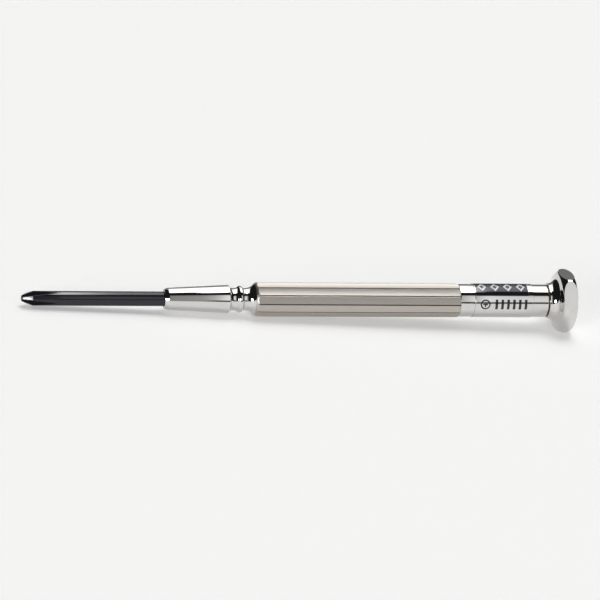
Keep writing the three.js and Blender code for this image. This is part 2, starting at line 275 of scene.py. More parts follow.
camera_data = bpy.data.cameras.new("long_lens")
camera_data.lens = camera_data.sensor_width * CAMERA_AWAY / FRAME_WIDTH
camera_data.clip_end = 20
camera = bpy.data.objects.new("camera", camera_data)
turn = Matrix((right, up, towards)).transposed().to_4x4()
camera.matrix_world = Matrix.Translation(aim + towards * CAMERA_AWAY) @ turn
bpy.context.scene.collection.objects.link(camera)
bpy.context.scene.camera = camera
print(f"lens {camera_data.lens:.0f} mm")

# %% Floor
FLOOR_HALF = 1.5
head_low, head_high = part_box("swivel_head")
grip_low, grip_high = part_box("grip")
head_flat_half = math.sqrt(RIM_ROUND ** 2 - (RIM_ROUND - HEAD_R - head_low.z / MM) ** 2) * MM
head_touch = Vector((head_high.x - RIM_ROUND * MM - head_flat_half, 0, head_low.z))
grip_touch = Vector((grip_low.x + FRONT_ROUND[0] * MM, 0, grip_low.z))
along = (head_touch - grip_touch).normalized()
across = Vector((0, 1, 0))

floor_mesh = bpy.data.meshes.new("floor")
corners = [grip_touch + along * a * FLOOR_HALF + across * b * FLOOR_HALF
           for a, b in ((-1, -1), (1, -1), (1, 1), (-1, 1))]
floor_mesh.from_pydata([tuple(c) for c in corners], [], [(0, 1, 2, 3)])
floor = bpy.data.objects.new("floor", floor_mesh)
bpy.context.scene.collection.objects.link(floor)
print(f"the bench is {math.degrees(math.asin(-along.z)):.2f} degrees off the tool's axis")

# %% [markdown]
# ## Light for polished metal
# Polished nickel has almost no colour of its own: what is seen is the room. In a studio that room is
# built from a few soft panels, and here the world shader does the same. Each panel covers a span of
# angles round the tool's axis and a span along it. In front there is a pale wall, then a dark gap, then
# a wide soft light overhead. A brighter core in that light draws the line on the black blade, and a dim
# low wall fills the room just above the horizon. To the left and right the room is dark, so every edge
# that faces along the tool gets a black outline. Only one lamp stands low on the left, for a glint on the
# faces that lean towards the tip. The panels light the bench too, so a large bright one would wash out
# the soft shadow.

# %% Room
world = bpy.data.worlds.new("room")
bpy.context.scene.world = world
world.use_nodes = True
room = world.node_tree.nodes
room_links = world.node_tree.links


def math_node(nodes, links, operation, one, two=None, clamp=False):
    """A math node whose inputs are sockets or plain numbers."""
    node = nodes.new("ShaderNodeMath")
    node.operation = operation
    node.use_clamp = clamp
    for socket, value in zip(node.inputs, (one, two)):
        if value is None:
            continue
        if isinstance(value, (int, float)):
            socket.default_value = value
        else:
            links.new(value, socket)
    return node.outputs[0]


def room_math(operation, one, two=None):
    return math_node(room, room_links, operation, one, two)


def ramp(value, reach, stops):
    """Brightness over a value that runs from -reach to reach."""
    node = room.new("ShaderNodeValToRGB")
    elements = node.color_ramp.elements
    elements.remove(elements[1])
    for n, (place, brightness) in enumerate(stops):
        place = (place / reach + 1) / 2
        element = elements[0] if n == 0 else elements.new(place)
        element.position = place
        element.color = (brightness, brightness, brightness, 1)
    share = room_math("ADD", room_math("MULTIPLY", value, 0.5 / reach), 0.5)
    room_links.new(share, node.inputs[0])
    return node.outputs[0]


direction = room.new("ShaderNodeSeparateXYZ")
room_links.new(room.new("ShaderNodeTexCoord").outputs["Generated"], direction.inputs[0])
along_tool = direction.outputs["X"]
to_front = room_math("MULTIPLY", direction.outputs["Y"], -1)
# degrees round the tool's axis: 0 is the horizon in front, 90 is overhead, 180 the horizon behind
round_tool = room_math("MULTIPLY", room_math("ARCTAN2", direction.outputs["Z"], to_front), math.degrees(1))


def panel_light(strength, around, along):
    """One soft panel: a span of degrees round the tool times a span along it."""
    shape = room_math("MULTIPLY", ramp(round_tool, 180, around), ramp(along_tool, 1, along))
    return room_math("MULTIPLY", shape, strength)


PANELS = {
    "front wall": (1.12, [(9, 0), (11, 1), (36, 1), (52, 0.85), (57, 0)],
                   [(-0.03, 0), (0.04, 0.27), (0.14, 0.34), (0.18, 0.5), (0.23, 1),
                    (0.28, 0.8), (0.6, 0.8), (0.66, 0)]),
    "overhead": (2.6, [(84, 0), (87, 1), (118, 1), (126, 0.56), (143, 0.5), (149, 0)],
                 [(-0.2, 0), (-0.12, 1), (0.58, 1), (0.64, 0)]),
    "bright core": (8.5, [(77, 0), (80, 1), (121, 1), (128, 0)],
                    [(0.14, 0), (0.17, 1), (0.215, 1), (0.23, 0)]),
    "back wall": (0.2, [(146, 0), (150, 1), (180, 1)], [(-0.2, 0), (-0.12, 1), (0.5, 1), (0.56, 0)]),
    "left lamp": (18.0, [(7, 0), (9, 1), (24, 1), (26, 0)],
                  [(-0.7, 0), (-0.67, 1), (-0.5, 1), (-0.47, 0)]),
    "low wall": (0.35, [(-1, 0), (1, 1), (9, 1), (11, 0)], [(-0.1, 0), (0, 1), (0.15, 1), (0.19, 0)]),
    "far floor": (0.9, [(-180, 1), (-3, 1), (-1, 0)], [(-1, 1), (1, 1)]),
    "dark room": (0.012, [(-180, 1), (180, 1)], [(-1, 1), (1, 1)]),
}
total = 0
for strength, around, along in PANELS.values():
    total = room_math("ADD", panel_light(strength, around, along), total)
room_links.new(total, room["Background"].inputs["Color"])
bpy.context.scene.view_settings.view_transform = "Standard"
print("room:", ", ".join(PANELS))

# %% [markdown]
# ## Finishes
# Each finish is a small node tree. Noise in the object's own coordinates gives wear and grain at the
# real scale: turning marks a few hundredths of a millimetre apart, grinding grain along the grip, and
# faint smudges. They change the colour a little, the roughness and a very low bump, and no picture file
# is needed.

# %% Finish helpers


def finish(name, colour, metallic, roughness):
    """A new material and its shader, ready for detail."""
    material = bpy.data.materials.new(name)
    material.use_nodes = True
    shader = material.node_tree.nodes["Principled BSDF"]
    shader.inputs["Base Color"].default_value = (*colour, 1)
    shader.inputs["Metallic"].default_value = metallic
    shader.inputs["Roughness"].default_value = roughness
    return material, shader


def grain(material, scale, detail=3.0, rough=0.6):
    """Noise in millimetres, stretched by its scale along the tool and across it."""
    nodes = material.node_tree.nodes
    place = nodes.new("ShaderNodeTexCoord")
    mapping = nodes.new("ShaderNodeMapping")
    mapping.inputs["Scale"].default_value = [s / MM for s in scale]
    noise = nodes.new("ShaderNodeTexNoise")
    noise.inputs["Scale"].default_value = 1
    noise.inputs["Detail"].default_value = detail
    noise.inputs["Roughness"].default_value = rough
    material.node_tree.links.new(place.outputs["Object"], mapping.inputs[0])
    material.node_tree.links.new(mapping.outputs[0], noise.inputs["Vector"])
    return noise.outputs[0]


def spread(material, value, low, high):
    """Maps noise onto a range."""
    node = material.node_tree.nodes.new("ShaderNodeMapRange")
    node.inputs["From Min"].default_value = 0.3
    node.inputs["From Max"].default_value = 0.7
    node.inputs["To Min"].default_value = low
    node.inputs["To Max"].default_value = high
    material.node_tree.links.new(value, node.inputs["Value"])
    return node.outputs[0]


def relief(material, shader, height, depth):
    """A bump whose height is in millimetres."""
    bump = material.node_tree.nodes.new("ShaderNodeBump")
    bump.inputs["Strength"].default_value = 1.0
    bump.inputs["Distance"].default_value = depth * MM
    material.node_tree.links.new(height, bump.inputs["Height"])
    material.node_tree.links.new(bump.outputs[0], shader.inputs["Normal"])


def tint(material, shader, value, dark, light):
    """Colour that drifts between two tones."""
    mix = material.node_tree.nodes.new("ShaderNodeMix")
    mix.data_type = "RGBA"
    mix.inputs[6].default_value = (*dark, 1)
    mix.inputs[7].default_value = (*light, 1)
    material.node_tree.links.new(value, mix.inputs[0])
    material.node_tree.links.new(mix.outputs[2], shader.inputs["Base Color"])


def lay_over(material, shader, share, colour):
    """Lays another colour over the base where share is 1."""
    links = material.node_tree.links
    mix = material.node_tree.nodes.new("ShaderNodeMix")
    mix.data_type = "RGBA"
    mix.inputs[7].default_value = (*colour, 1)
    links.new(share, mix.inputs[0])
    links.new(shader.inputs["Base Color"].links[0].from_socket, mix.inputs[6])
    links.new(mix.outputs[2], shader.inputs["Base Color"])


def rough_by(material, shader, value):
    """Drives the roughness from a value."""
    material.node_tree.links.new(value, shader.inputs["Roughness"])


def place_in(material):
    """A material's math helper, and the object's own X, Y and Z as sockets."""
    nodes = material.node_tree.nodes
    links = material.node_tree.links
    spot = nodes.new("ShaderNodeSeparateXYZ")
    links.new(nodes.new("ShaderNodeTexCoord").outputs["Object"], spot.inputs[0])

    def work_out(operation, one, two=None, clamp=False):
        return math_node(nodes, links, operation, one, two, clamp)

    return work_out, spot.outputs


print("finish helpers ready")

# %% Nickel, polished and satin
polished_nickel, shader = finish("polished_nickel", (0.68, 0.67, 0.65), 1.0, 0.05)
smudge = grain(polished_nickel, (0.35, 0.5, 0.5))
rough_by(polished_nickel, shader, spread(polished_nickel, smudge, 0.035, 0.075))
tint(polished_nickel, shader, smudge, (0.66, 0.648, 0.63), (0.71, 0.705, 0.69))
turning = grain(polished_nickel, (14.0, 0.15, 0.15), 2.0)
relief(polished_nickel, shader, turning, 0.00012)

satin_nickel, shader = finish("satin_nickel", (0.5, 0.465, 0.425), 1.0, 0.39)
cloud = grain(satin_nickel, (0.3, 1.2, 1.2))
rough_by(satin_nickel, shader, spread(satin_nickel, cloud, 0.36, 0.42))
tint(satin_nickel, shader, cloud, (0.48, 0.445, 0.405), (0.56, 0.525, 0.485))
scratches = grain(satin_nickel, (1.2, 16.0, 16.0), 3.0)
relief(satin_nickel, shader, scratches, 0.0012)


def painted_shade_in_lines(material, shader, half_angle, start, end):
    """Painted shade in the grip's V lines: darkens a narrow wedge round each corner."""
    work_out, spot = place_in(material)
    pitch = 2 * math.pi / FLUTES
    angle = work_out("ARCTAN2", spot["Z"], work_out("MULTIPLY", spot["Y"], -1))
    off = work_out("FLOORED_MODULO", work_out("SUBTRACT", angle, ROLL + FLUTE_TURN), pitch)
    off = work_out("ABSOLUTE", work_out("SUBTRACT", off, pitch / 2))
    # full over the wedge's inner third, then fading to its sides
    line = work_out("MULTIPLY", work_out("SUBTRACT", half_angle, off), 1.5 / half_angle, True)
    x = work_out("DIVIDE", spot["X"], MM)
    # it fades out over a third of a millimetre at both ends
    after_start = work_out("MULTIPLY", work_out("SUBTRACT", x, start), 3, True)
    before_end = work_out("MULTIPLY", work_out("SUBTRACT", end, x), 3, True)
    share = work_out("MULTIPLY", line, work_out("MULTIPLY", after_start, before_end))
    # the dark colour laid over the V lines is painted shade
    lay_over(material, shader, share, (0.07, 0.06, 0.05))


# painted shade along the grip's V lines, laid into the satin finish's colour
painted_shade_in_lines(satin_nickel, shader, math.radians(2.0), front("grip") + 0.3, rear("grip") + 1)
print("nickel finishes ready")

# %% Black steel and the small metals
black_steel, shader = finish("black_steel", (0.01, 0.009, 0.017), 0.0, 0.09)
shader.inputs["IOR"].default_value = 1.5
handling = grain(black_steel, (0.5, 0.8, 0.8))
rough_by(black_steel, shader, spread(black_steel, handling, 0.07, 0.11))
tint(black_steel, shader, handling, (0.007, 0.006, 0.012), (0.013, 0.011, 0.02))
relief(black_steel, shader, grain(black_steel, (6.0, 6.0, 6.0), 2.0), 0.0005)


def ground_lands(material, shader, length, start_r, slope):
    """Bare steel on the wings' outer lands at the point, where the blacking is ground off."""
    work_out, spot = place_in(material)
    x = work_out("DIVIDE", spot["X"], MM)
    square = work_out("ADD", work_out("POWER", spot["Y"], 2), work_out("POWER", spot["Z"], 2))
    radius = work_out("DIVIDE", work_out("SQRT", square), MM)
    depth = work_out("SUBTRACT", radius, work_out("ADD", work_out("MULTIPLY", x, slope), start_r))
    # the bare steel starts over a width of 0.025 mm and ends over a fifth of a millimetre
    land = work_out("MULTIPLY", work_out("ADD", depth, 0.02), 40, True)
    near_tip = work_out("MULTIPLY", work_out("SUBTRACT", length, x), 5, True)
    bare = work_out("MULTIPLY", land, near_tip)
    material.node_tree.links.new(bare, shader.inputs["Metallic"])
    lay_over(material, shader, bare, (0.62, 0.62, 0.63))
    blacked_rough = shader.inputs["Roughness"].links[0].from_socket
    rough_by(material, shader, work_out("ADD", blacked_rough, work_out("MULTIPLY", bare, 0.3)))


ground_lands(black_steel, shader, length=2.3, start_r=0.58, slope=0.4)


def plain_metal(name, colour, roughness, scale, depth):
    """A small turned or ground metal with fine marks along the given scale."""
    material, shader = finish(name, colour, 1.0, roughness)
    marks = grain(material, scale)
    dark = [c * 0.85 for c in colour]
    tint(material, shader, marks, dark, colour)
    rough_by(material, shader, spread(material, marks, roughness * 0.8, roughness * 1.2))
    relief(material, shader, marks, depth)
    return material


burnished_steel = plain_metal("burnished_steel", (0.2, 0.2, 0.215), 0.3, (8.0, 3.0, 3.0), 0.0008)
bearing_steel = plain_metal("bearing_steel", (0.56, 0.57, 0.58), 0.12, (12.0, 0.5, 0.5), 0.0002)
bush_bronze = plain_metal("bush_bronze", (0.55, 0.32, 0.15), 0.35, (5.0, 5.0, 5.0), 0.001)
washer_brass = plain_metal("washer_brass", (0.2, 0.12, 0.06), 0.4, (9.0, 2.0, 2.0), 0.0008)
print("small metals ready")

# %% [markdown]
# ## The blade
# A cross point is a round bar with a blunt, slightly bowed point and four milled grooves that leave four
# wings. The bar is turned, and each groove is one long V-shaped cutter that climbs out of the metal, so
# the grooves run out by themselves. Each groove's floor has a small round, as its milling cutter had.

# %% Blade
TIP_FACE_R = 0.33
TIP_EDGE = (0.15, 0.62)
TIP_LENGTH = 2.45
TIP_BOW = 0.11
GROOVE_FLOOR = 0.3
GROOVE_LENGTH = 7.6
GROOVE_ANGLE = math.radians(92)
GROOVE_ROUND = 0.12
TANG_FLAT_LENGTH = 13.0
TANG_FLAT_DEPTH = 0.35

blade_rear = rear("blade")
point = bowed((0, TIP_FACE_R), TIP_EDGE, 0.04, 4)[:-1]
point += bowed(TIP_EDGE, (TIP_LENGTH, BLADE_R), TIP_BOW, 14)
blade = turned("blade", [(0, 0)] + point + rounded([
    (TIP_LENGTH + 6, BLADE_R), (blade_rear - 0.3, BLADE_R, 0.1),
    (blade_rear, BLADE_R - 0.3, 0.1), (blade_rear, 0),
]), 96)
climb = math.atan2(BLADE_R - GROOVE_FLOOR, GROOVE_LENGTH)
groove_depth = 3 * BLADE_R
groove_half = groove_depth * math.tan(GROOVE_ANGLE / 2)
section = rounded([(-groove_half, groove_depth), (0, 0, GROOVE_ROUND), (groove_half, groove_depth)])


def groove(quarter):
    """One V-shaped cutter, its floor at the blade's end face and climbing outwards."""
    cutter = extruded(f"groove_{quarter}", section, 2 * GROOVE_LENGTH)
    lift = GROOVE_FLOOR - GROOVE_ROUND * (1 / math.sin(GROOVE_ANGLE / 2) - 1)
    cutter.data.transform(
        Matrix.Rotation(-ROLL + math.radians(45 + 90 * quarter), 4, "X")
        @ Matrix.Translation((0, 0, lift))
        @ Matrix.Rotation(-climb, 4, "Y")
        @ Matrix.Translation((-GROOVE_LENGTH / 2, 0, 0))
    )
    return cutter


# a turned piece with four sides is a square bar; turned by 45 degrees and stretched, it cuts the flat
tang_cut = turned("tang_cut", [(0, 0), (0, 1), (1, 1), (1, 0)], 4)
tang_cut.data.transform(
    Matrix.Rotation(-ROLL, 4, "X")
    @ Matrix.Translation((blade_rear - TANG_FLAT_LENGTH, 2 * BLADE_R - TANG_FLAT_DEPTH, 0))
    @ Matrix.Diagonal((TANG_FLAT_LENGTH + 1, BLADE_R * math.sqrt(2), 3 * BLADE_R, 1))
    @ Matrix.Rotation(math.radians(45), 4, "X")
)
cut(blade, *[groove(quarter) for quarter in range(4)], tang_cut)
finished(blade, "blade", "blade", black_steel)

# %% [markdown]
# ## The nose piece
# The nose is one turning: a chamfered mouth, a long cone, a sharp step down to the neck, a half-round
# bead, a short throat and a trumpet flare that meets the grip. Its bore holds the blade, and a cross hole
# on the side away from the print holds the grub screw.

# %% Nose piece
BORE_R = 1.55
MOUTH_R = 1.92
CONE_FRONT_R = 2.27
CONE_REAR_R = 2.93
NECK_R = 2.42
BEAD_R = 2.79
THROAT_R = 2.3
FLARE_END_R = CORNER_R - FRONT_ROUND[1]
SPIGOT_R = 2.2
GRUB_X = Vector(joints["blade_screw_turn"]["pos_m"]).x / MM
GRUB_R = 1.0

nose_front = front("nose_piece")
grip_front = front("grip") - GAP
shoulder = nose_front + 13.2
bead = shoulder + 1.9
throat = bead + 1.3
flare_start = throat + 0.4
spigot_end = rear("nose_piece")

flare_sweep = 2 * math.atan2(FLARE_END_R - THROAT_R, grip_front - flare_start)
flare_round = (grip_front - flare_start) / math.sin(flare_sweep)
nose_outline = rounded([
    (nose_front + 1, BORE_R), (nose_front, BORE_R, 0.05), (nose_front, MOUTH_R, 0.05),
    (nose_front + 0.8, CONE_FRONT_R, 0.2), (shoulder + 0.15, CONE_REAR_R, 0.22),
    (shoulder + 0.3, CONE_REAR_R - 0.3),
])
nose_outline += bowed((shoulder + 0.34, CONE_REAR_R - 0.36), (bead - 0.04, NECK_R), -0.18, 14)
nose_outline += bowed((bead + 0.04, NECK_R + 0.03), (throat - 0.04, THROAT_R + 0.03), BEAD_R - NECK_R, 16)
nose_outline += arc(flare_start, THROAT_R + flare_round, flare_round,
                    270, 270 + math.degrees(flare_sweep), 14)
nose_outline += rounded([
    (grip_front - 0.02, FLARE_END_R + 0.03), (grip_front, FLARE_END_R, 0.02), (grip_front, SPIGOT_R),
    (spigot_end - 0.3, SPIGOT_R, 0.05), (spigot_end, SPIGOT_R - 0.3, 0.05), (spigot_end, 0),
])
nose_outline += [(blade_rear + 0.05, 0), (blade_rear + 0.05, BORE_R), (nose_front + 1, BORE_R)]
nose_piece = turned("nose_piece", nose_outline)


def cross_rod(name, foot, top, radius):
    """A cylinder on the grub screw's own axis, from foot to top out of the tool's axis."""
    rod = turned(name, [(foot, 0), (foot, radius), (top, radius), (top, 0)], 64)
    rod.data.transform(
        Matrix.Translation((GRUB_X, 0, 0))
        @ Matrix.Rotation(-ROLL, 4, "X")
        @ Matrix.Rotation(math.radians(90), 4, "Z")
    )
    return rod


cut(nose_piece, cross_rod("screw_hole", 0, 2 * HANDLE_R, GRUB_R + 0.05))
finished(nose_piece, "handle", "nose_piece", polished_nickel)

# %% [markdown]
# ## The grub screw
# A slotted screw without a head, sunk just under the surface. The end has a chamfer so that it starts
# easily, and the slot is as wide as the watchmaker's own small driver.

# %% Grub screw
GRUB_FOOT = 1.18
GRUB_TOP = 2.45
SLOT_HALF = 0.175
SLOT_DEPTH = 0.5
blade_screw = turned("blade_screw", rounded([
    (GRUB_FOOT, 0), (GRUB_FOOT, GRUB_R - 0.2), (GRUB_FOOT + 0.2, GRUB_R, 0.03),
    (GRUB_TOP - 0.1, GRUB_R, 0.03), (GRUB_TOP, GRUB_R - 0.1, 0.03), (GRUB_TOP, 0),
]), 96)
slot_section = [(-1.5, -SLOT_HALF), (1.5, -SLOT_HALF), (1.5, SLOT_HALF), (-1.5, SLOT_HALF)]
slot_cut = extruded("slot_cut", slot_section, 1)
slot_cut.data.transform(Matrix.Translation((GRUB_TOP - SLOT_DEPTH, 0, 0)))
cut(blade_screw, slot_cut)
blade_screw.data.transform(
    Matrix.Translation((GRUB_X, 0, 0))
    @ Matrix.Rotation(-ROLL, 4, "X")
    @ Matrix.Rotation(math.radians(90), 4, "Z")
)
finished(blade_screw, "blade_screw", "blade_screw", burnished_steel)

# %% [markdown]
# ## The grip
# Twelve broad flutes, so shallow that they are almost flats, meet in twelve corners, and a fine V line is
# cut along each corner for the fingers. The bar could be cut with long cylinders, but a formula is
# cleaner: at every angle the surface is the lowest of the turned bar, the flute's hollow and the line,
# blended over a few hundredths of a millimetre. Where the bar drops at its ends below the flutes'
# floor, the flutes run out in small scallops without any more work.

# %% Grip
FLUTE_DEPTH = 0.16
LINE_DEPTH = 0.2
LINE_SLOPE = 1.1
EDGE_BLEND = 0.03
REAR_ROUND = (0.4, 0.19)
SPIGOT_POCKET = 6.1

half_pitch = math.pi / FLUTES
chord = CORNER_R * math.sin(half_pitch)
sag = CORNER_R * math.cos(half_pitch) - (CORNER_R - FLUTE_DEPTH)
hollow_r = (chord ** 2 + sag ** 2) / (2 * sag)
hollow_centre = CORNER_R - FLUTE_DEPTH + hollow_r
bore_r = SPIGOT_R + GAP


def blended_min(one, two, width):
    """The lower of two radii, with a round of about the given width where they cross."""
    gap = max(width - abs(one - two), 0) / width
    return min(one, two) - gap * gap * width / 4


def flute_radius(angle):
    """Distance from the axis to the nearest flute's hollow, or to the line in the nearest corner."""
    off = (angle - ROLL - FLUTE_TURN + half_pitch) % (2 * half_pitch) - half_pitch
    side = hollow_centre * math.sin(off)
    hollow = hollow_centre * math.cos(off) - math.sqrt(hollow_r ** 2 - side ** 2)
    from_corner = CORNER_R * math.sin(half_pitch - abs(off))
    line = CORNER_R - LINE_DEPTH + from_corner * LINE_SLOPE
    return blended_min(hollow, line, EDGE_BLEND)


def fluted(radius, x, angle):
    """The bar's radius with flutes and lines; the bore inside stays round."""
    if radius < bore_r + 0.01:
        return radius
    return blended_min(radius, flute_radius(angle), 2 * EDGE_BLEND)


grip_start = front("grip")
grip_end = rear("grip")
blank_r = CORNER_R + 0.01
steps = [n / 14 for n in range(15)]
front_end = [(grip_start + FRONT_ROUND[0] * n, blank_r - FRONT_ROUND[1] * (1 - n) ** 1.3) for n in steps]
rear_end = [(grip_end - REAR_ROUND[0] * (1 - n), blank_r - REAR_ROUND[1] * n ** 2) for n in steps]
body_start = grip_start + FRONT_ROUND[0]
body_length = grip_end - REAR_ROUND[0] - body_start
middle = [(body_start + body_length * n / 12, blank_r) for n in range(1, 12)]
grip_outline = [(grip_start, bore_r), *front_end, *middle, *rear_end, (grip_end, bore_r)]
grip_outline += [(grip_end - SPIGOT_POCKET, bore_r), (grip_end - SPIGOT_POCKET, 0)]
pocket_bottom = grip_start + SPIGOT_POCKET
grip_outline = [(pocket_bottom, 0), (pocket_bottom, bore_r)] + grip_outline
grip = turned("grip", grip_outline, 720, fluted)
finished(grip, "handle", "grip", satin_nickel)

# %% [markdown]
# ## Tail sleeve, washer and label
# The tail is the plainest piece and shows the room best. Its edges have small rounds, and a thin brass
# washer fills the gap to the head: from outside it is only a thin warm line. The label is a film about
# a tenth of a millimetre thick, so it stands proud of the sleeve and has an edge of its own.

# %% Tail sleeve and washer
sleeve_start = grip_end + GAP
sleeve_end = rear("rear_sleeve")
BEARING_R = 2.5
pocket_r = BEARING_R + GAP
pocket_end = front("ball_seat") - GAP
rear_sleeve = turned("rear_sleeve", rounded([
    (front("rear_sleeve"), 0), (front("rear_sleeve"), SPIGOT_R - 0.3, 0.05),
    (front("rear_sleeve") + 0.3, SPIGOT_R, 0.05), (sleeve_start, SPIGOT_R), (sleeve_start, HANDLE_R, 0.06),
    (sleeve_end, HANDLE_R, 0.1), (sleeve_end, pocket_r, 0.04), (pocket_end, pocket_r), (pocket_end, 0),
]))
finished(rear_sleeve, "handle", "rear_sleeve", polished_nickel)


def washer(name, start, end, inner, outer, edge, sides=SIDES):
    """A turned ring with rounded edges."""
    middle_x = (start + end) / 2
    return turned(name, rounded([
        (middle_x, inner), (start, inner, edge / 2), (start, outer, edge), (end, outer, edge),
        (end, inner, edge / 2), (middle_x, inner),
    ]), sides)


thrust_washer = washer("thrust_washer", front("thrust_washer"), rear("thrust_washer"),
                       SPINDLE_R + 0.05, HANDLE_R - 0.08, 0.05)
finished(thrust_washer, "handle", "thrust_washer", washer_brass)

# %% Label band
FILM = 0.09
label_start = front("label_band")
label_end = rear("label_band")
film_bore = HANDLE_R + GAP
label_r = film_bore + FILM
label_band = turned("label_band", rounded([
    (label_start + 1, film_bore), (label_start, film_bore, 0.02), (label_start, label_r, 0.06),
    (label_end, label_r, 0.06), (label_end, film_bore, 0.02), (label_start + 1, film_bore),
]))
print(f"label film {label_end - label_start:.1f} mm wide, {2 * label_r:.2f} mm over")

# %% [markdown]
# The print is worked out in the shader from two distances in millimetres: how far along the film, and
# how far round it from the line that faces the reader. They come from the object's own coordinates, so
# the print stays on the film from every side. Shapes are made by comparing those distances, which keeps
# the edges crisp at any size. The marks are plain signs: a row of lozenges on a dark panel, and below
# it a round sign for the cross point with a row of bars.

# %% Print signs
label_film, shader = finish("label_film", (0.68, 0.67, 0.66), 1.0, 0.1)
ink = label_film.node_tree.nodes
ink_links = label_film.node_tree.links


def ink_math(operation, one, two=None, clamp=False):
    return math_node(ink, ink_links, operation, one, two, clamp)


def inside(distance, edge=0.05):
    """1 where a signed distance in millimetres is below zero, with a soft edge."""
    return ink_math("ADD", ink_math("MULTIPLY", distance, -1 / edge), 0.5, True)


def bar(u, v, centre_u, centre_v, half_u, half_v):
    """Signed distance to an upright bar."""
    du = ink_math("SUBTRACT", ink_math("ABSOLUTE", ink_math("SUBTRACT", u, centre_u)), half_u)
    dv = ink_math("SUBTRACT", ink_math("ABSOLUTE", ink_math("SUBTRACT", v, centre_v)), half_v)
    return ink_math("MAXIMUM", du, dv)


def either(*masks):
    total = masks[0]
    for mask in masks[1:]:
        total = ink_math("MAXIMUM", total, mask)
    return total


spot = ink.new("ShaderNodeSeparateXYZ")
ink_links.new(ink.new("ShaderNodeTexCoord").outputs["Object"], spot.inputs[0])
along_film = ink_math("DIVIDE", spot.outputs["X"], MM)
along_film = ink_math("SUBTRACT", along_film, label_start)
minus_y = ink_math("MULTIPLY", spot.outputs["Y"], -1)
turn_y = ink_math("ADD", ink_math("MULTIPLY", minus_y, math.cos(ROLL)),
                  ink_math("MULTIPLY", spot.outputs["Z"], math.sin(ROLL)))
turn_z = ink_math("SUBTRACT", ink_math("MULTIPLY", spot.outputs["Z"], math.cos(ROLL)),
                  ink_math("MULTIPLY", minus_y, math.sin(ROLL)))
round_film = ink_math("MULTIPLY", ink_math("ARCTAN2", turn_z, turn_y), label_r)

PANEL_U, PANEL_V = 5.75, 3.53
PANEL_HALF_U, PANEL_HALF_V = 5.6, 2.58
panel = inside(bar(along_film, round_film, PANEL_U, PANEL_V, PANEL_HALF_U, PANEL_HALF_V))
LOZENGES = 4
LOZENGE_PITCH = 2.75
LOZENGE_V = 3.2
row_half = LOZENGE_PITCH * LOZENGES / 2
cell = ink_math("SUBTRACT", along_film, PANEL_U - row_half)
cell = ink_math("SUBTRACT", ink_math("FLOORED_MODULO", cell, LOZENGE_PITCH), LOZENGE_PITCH / 2)
from_row = ink_math("ABSOLUTE", ink_math("SUBTRACT", round_film, LOZENGE_V))
lozenge = ink_math("ADD", ink_math("ABSOLUTE", cell), ink_math("MULTIPLY", from_row, 0.8))
row_only = inside(bar(along_film, round_film, PANEL_U, LOZENGE_V, row_half, 2.2))
outer = inside(ink_math("SUBTRACT", lozenge, 0.95))
hole = inside(ink_math("SUBTRACT", lozenge, 0.5))
lozenges = ink_math("MULTIPLY", ink_math("SUBTRACT", outer, hole, True), row_only)

# the signs below: a ring with a cross, then bars
SIGN_U = 2.15
SIGN_V = -0.85
BARS = 6
BAR_PITCH = 1.25
BARS_START = 3.9
from_u = ink_math("SUBTRACT", along_film, SIGN_U)
from_v = ink_math("SUBTRACT", round_film, SIGN_V)
from_centre = ink_math("SQRT", ink_math("ADD", ink_math("MULTIPLY", from_u, from_u),
                                        ink_math("MULTIPLY", from_v, from_v)))
ring_sign = inside(ink_math("SUBTRACT", ink_math("ABSOLUTE", ink_math("SUBTRACT", from_centre, 0.9)), 0.15))
cross_sign = either(inside(bar(along_film, round_film, SIGN_U, SIGN_V, 0.52, 0.14)),
                    inside(bar(along_film, round_film, SIGN_U, SIGN_V, 0.14, 0.52)))
bar_cell = ink_math("SUBTRACT", along_film, BARS_START)
bar_cell = ink_math("SUBTRACT", ink_math("FLOORED_MODULO", bar_cell, BAR_PITCH), BAR_PITCH / 2)
bars = ink_math("SUBTRACT", ink_math("ABSOLUTE", bar_cell), 0.27)
bars_half = BARS * BAR_PITCH / 2
bars_row = inside(bar(along_film, round_film, BARS_START + bars_half, SIGN_V, bars_half, 1.04))
bars = ink_math("MULTIPLY", inside(bars), bars_row)
black_signs = either(ring_sign, cross_sign, bars)
print("print: panel,", LOZENGES, "lozenges, ring, cross and bars")

# %% Print colours
dark_print = ink_math("SUBTRACT", either(panel, black_signs), lozenges, True)
base_mix = ink.new("ShaderNodeMix")
base_mix.data_type = "RGBA"
base_mix.inputs[6].default_value = (0.68, 0.67, 0.66, 1)
base_mix.inputs[7].default_value = (0.012, 0.012, 0.018, 1)
ink_links.new(dark_print, base_mix.inputs[0])
light_mix = ink.new("ShaderNodeMix")
light_mix.data_type = "RGBA"
light_mix.inputs[7].default_value = (0.75, 0.76, 0.78, 1)
ink_links.new(ink_math("MULTIPLY", lozenges, panel), light_mix.inputs[0])
ink_links.new(base_mix.outputs[2], light_mix.inputs[6])
ink_links.new(light_mix.outputs[2], shader.inputs["Base Color"])
ink_links.new(ink_math("SUBTRACT", 1, either(panel, black_signs), True), shader.inputs["Metallic"])
rough_by(label_film, shader, spread(label_film, grain(label_film, (0.5, 0.7, 0.7)), 0.06, 0.12))
ripple = grain(label_film, (0.25, 0.6, 0.6), 1.0)
relief(label_film, shader, ripple, 0.004)
finished(label_band, "handle", "label_band", label_film)

# %% [markdown]
# ## The bearing inside the head
# These pieces are out of sight while the tool is whole, and they are what lets the head stand still
# under a fingertip while the grip turns: a ball in two dimples takes the push, a bronze bush keeps the
# spindle straight, and a snap ring stops the head from falling off.

# %% Bearing
BALL_R = 1.25
seat_front = front("ball_seat")
seat_rear = rear("ball_seat")
ball_x = (front("thrust_ball") + rear("thrust_ball")) / 2
dimple_r = BALL_R + 0.05


